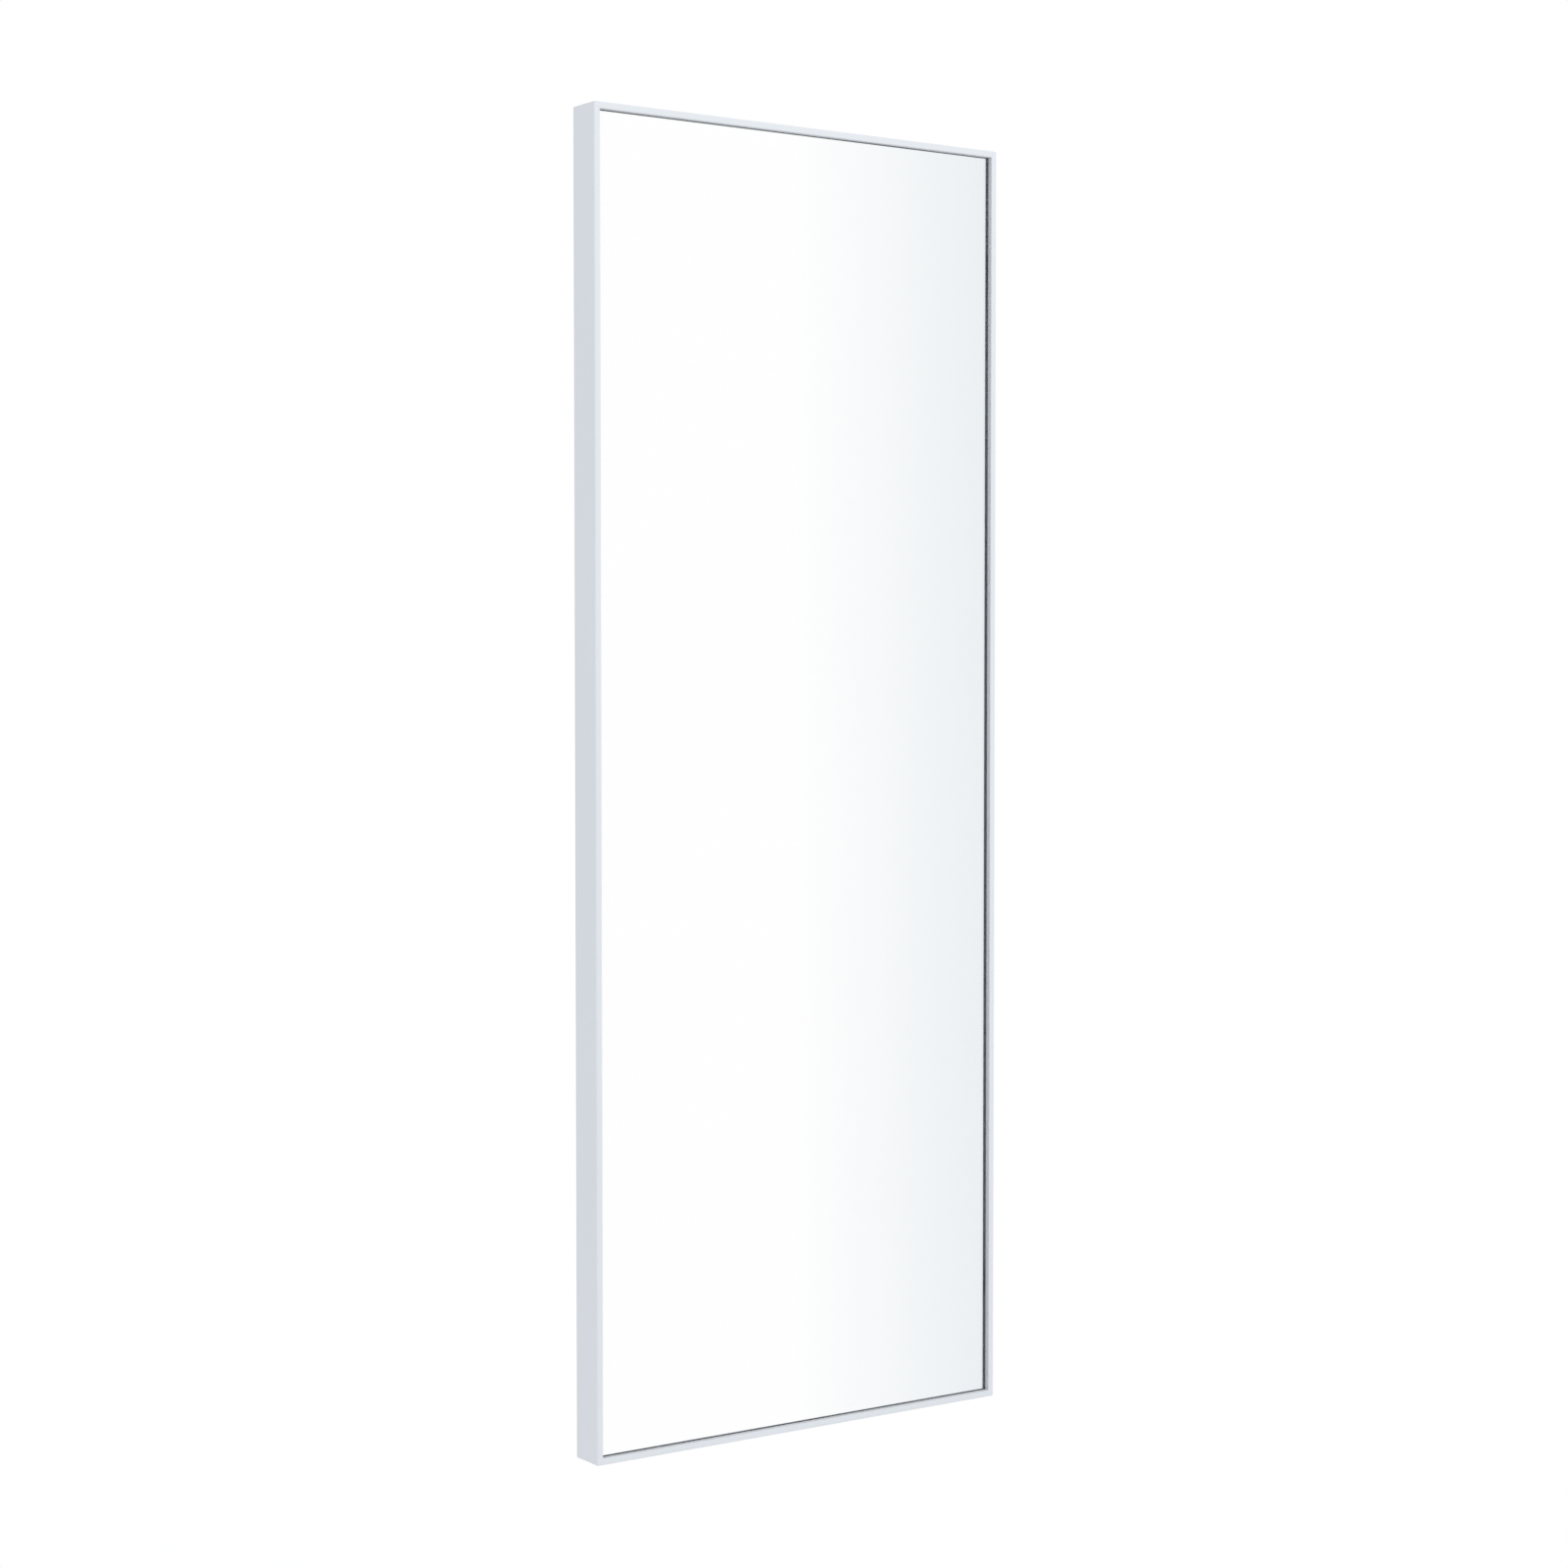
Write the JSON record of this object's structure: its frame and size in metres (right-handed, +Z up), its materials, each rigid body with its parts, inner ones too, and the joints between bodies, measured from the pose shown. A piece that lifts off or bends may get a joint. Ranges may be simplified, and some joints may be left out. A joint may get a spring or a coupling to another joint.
{
  "type": "wall mirror",
  "caption": "Tall slim wall mirror: silvered glass set back in a thin, deep, white mitred metal frame, with a backboard and swinging D-ring hangers behind.",
  "frame": {"origin": "middle of the wall plane, the plane of the frame's rear rim", "axes": "+Z up along the height, +X to the right across the width seen from the front, +Y back into the wall, so the glass faces -Y"},
  "size_m": [0.6, 0.047, 1.6],
  "materials": {
    "white_powder_coat": "satin",
    "cast_aluminium": "matte",
    "galvanised_steel": "satin",
    "zinc_plated_steel": "satin",
    "grey_foam_tape": "matte",
    "silvered_glass": "polished",
    "grey_film": "satin",
    "white_foam": "matte",
    "hardboard": "satin",
    "black_rubber": "matte"
  },
  "bodies": {
    "frame": {"left_stile": "white_powder_coat", "right_stile": "white_powder_coat", "top_rail": "white_powder_coat", "bottom_rail": "white_powder_coat", "corner_cleat_bottom_left": "cast_aluminium", "corner_cleat_top_left": "cast_aluminium", "corner_cleat_top_right": "cast_aluminium", "corner_cleat_bottom_right": "cast_aluminium", "front_corner_key_bottom_left": "galvanised_steel", "front_corner_key_top_left": "galvanised_steel", "front_corner_key_top_right": "galvanised_steel", "front_corner_key_bottom_right": "galvanised_steel", "hanger_nut_plate_left": "galvanised_steel", "hanger_nut_plate_right": "galvanised_steel", "hanger_strap_left": "zinc_plated_steel", "hanger_strap_right": "zinc_plated_steel", "corner_screws": "zinc_plated_steel", "hanger_screws": "zinc_plated_steel", "glazing_tape_left": "grey_foam_tape", "glazing_tape_right": "grey_foam_tape", "glazing_tape_top": "grey_foam_tape", "glazing_tape_bottom": "grey_foam_tape", "mirror_glass": "silvered_glass", "safety_film": "grey_film", "foam_sheet": "white_foam", "backboard": "hardboard", "backing_gasket_left": "black_rubber", "backing_gasket_right": "black_rubber", "backing_gasket_top": "black_rubber", "backing_gasket_bottom": "black_rubber", "setting_blocks": "black_rubber"},
    "left_ring": {"hanger_ring_left": "zinc_plated_steel"},
    "right_ring": {"hanger_ring_right": "zinc_plated_steel"}
  },
  "joints": [
    {"name": "left_ring_swing", "type": "hinge", "parent": "frame", "child": "left_ring", "pos_m": [-0.2835, -0.00485, 0.48], "axis": [1, 0, 0], "range_deg": [0, 180]},
    {"name": "right_ring_swing", "type": "hinge", "parent": "frame", "child": "right_ring", "pos_m": [0.2835, -0.00485, 0.48], "axis": [1, 0, 0], "range_deg": [0, 180]}
  ]
}
